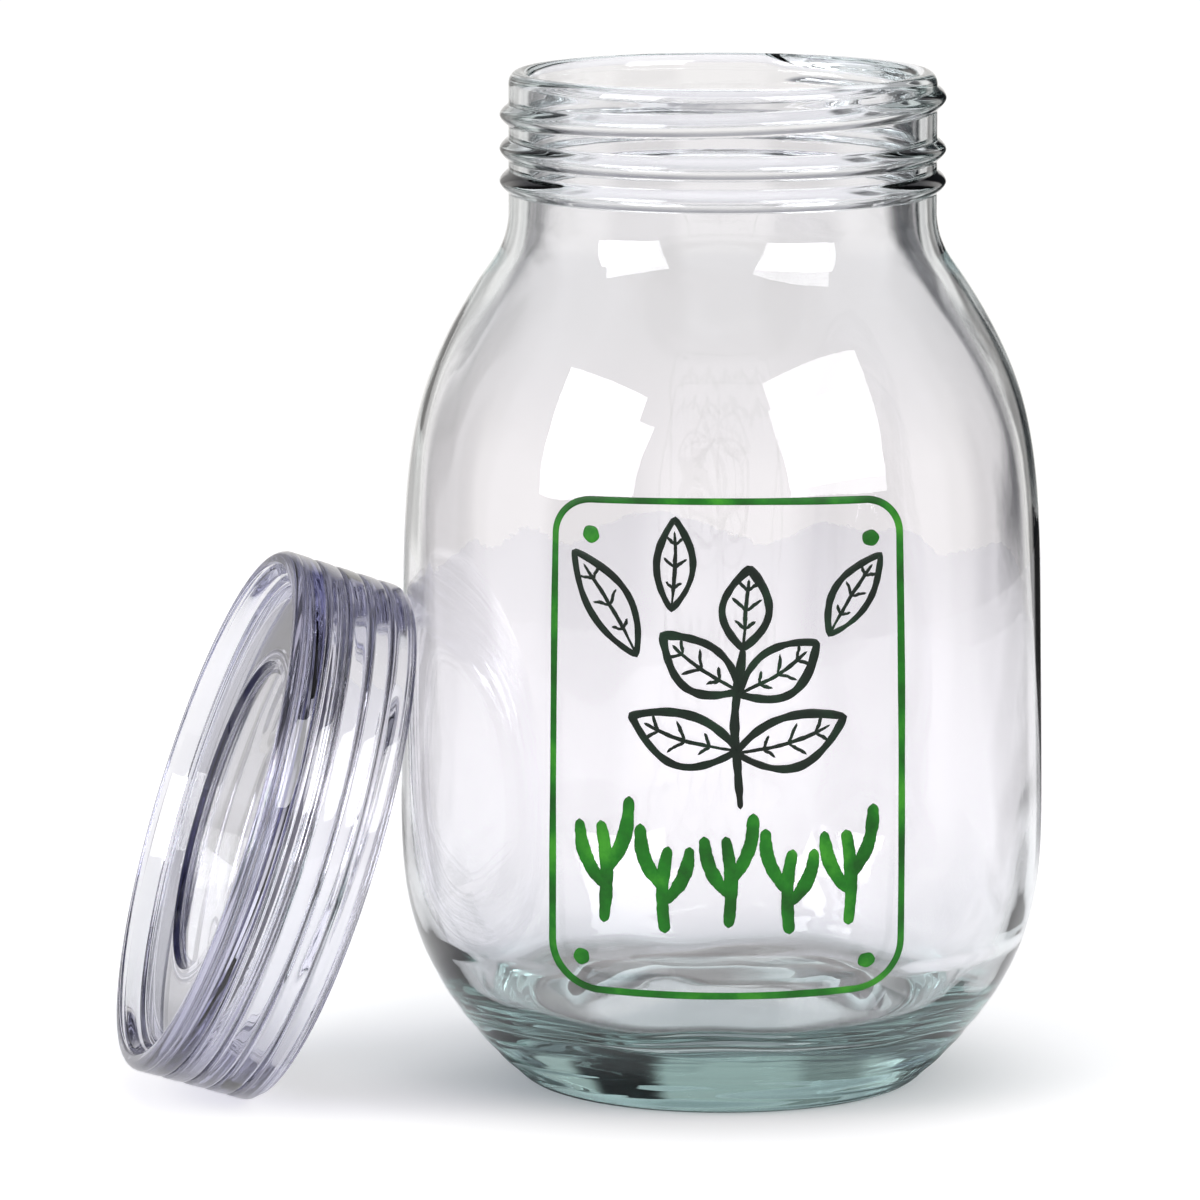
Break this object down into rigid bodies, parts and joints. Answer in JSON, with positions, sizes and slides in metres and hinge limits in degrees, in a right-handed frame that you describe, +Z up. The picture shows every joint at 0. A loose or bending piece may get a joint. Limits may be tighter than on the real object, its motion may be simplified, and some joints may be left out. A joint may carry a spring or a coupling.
{
  "type": "storage jar with screw lid",
  "caption": "Clear glass storage jar with a wide threaded mouth, thick base and printed decoration, and a clear ribbed plastic screw lid leaning against its side",
  "frame": {"origin": "centre of the flat bearing ring that the jar stands on", "axes": "+Z up along the jar's axis and out of its mouth; the decoration faces -Y; the lid leans on the jar's -X side"},
  "size_m": [0.1771, 0.1303, 0.193],
  "materials": {
    "glass": "clear soda-lime glass with a faint green tint in its thick parts",
    "clear_plastic": "clear glossy polystyrene",
    "seal": "translucent soft silicone, satin",
    "green_ink": "opaque green screen-print ink, slightly uneven",
    "dark_ink": "opaque very dark green screen-print ink"
  },
  "bodies": {
    "jar": {"glass_jar": "glass", "print_border": "green_ink", "print_corner_dots": "green_ink", "print_leaves": "dark_ink", "print_sprig": "dark_ink", "print_sprouts": "green_ink"},
    "seal": {"seal_ring": "seal"},
    "lid": {"screw_lid": "clear_plastic"}
  },
  "joints": [
    {"name": "lid_carry", "type": "hinge", "parent": "jar", "child": "seal", "pos_m": [0.12435, 0.02433, 0.11375], "axis": [-0.192, 0.9814, 0], "range_deg": [0, 71.68]},
    {"name": "lid_turn", "type": "hinge", "parent": "seal", "child": "lid", "pos_m": [-0.07521, -0.01472, 0.04761], "axis": [-0.9317, -0.1823, 0.3143], "continuous": true}
  ]
}
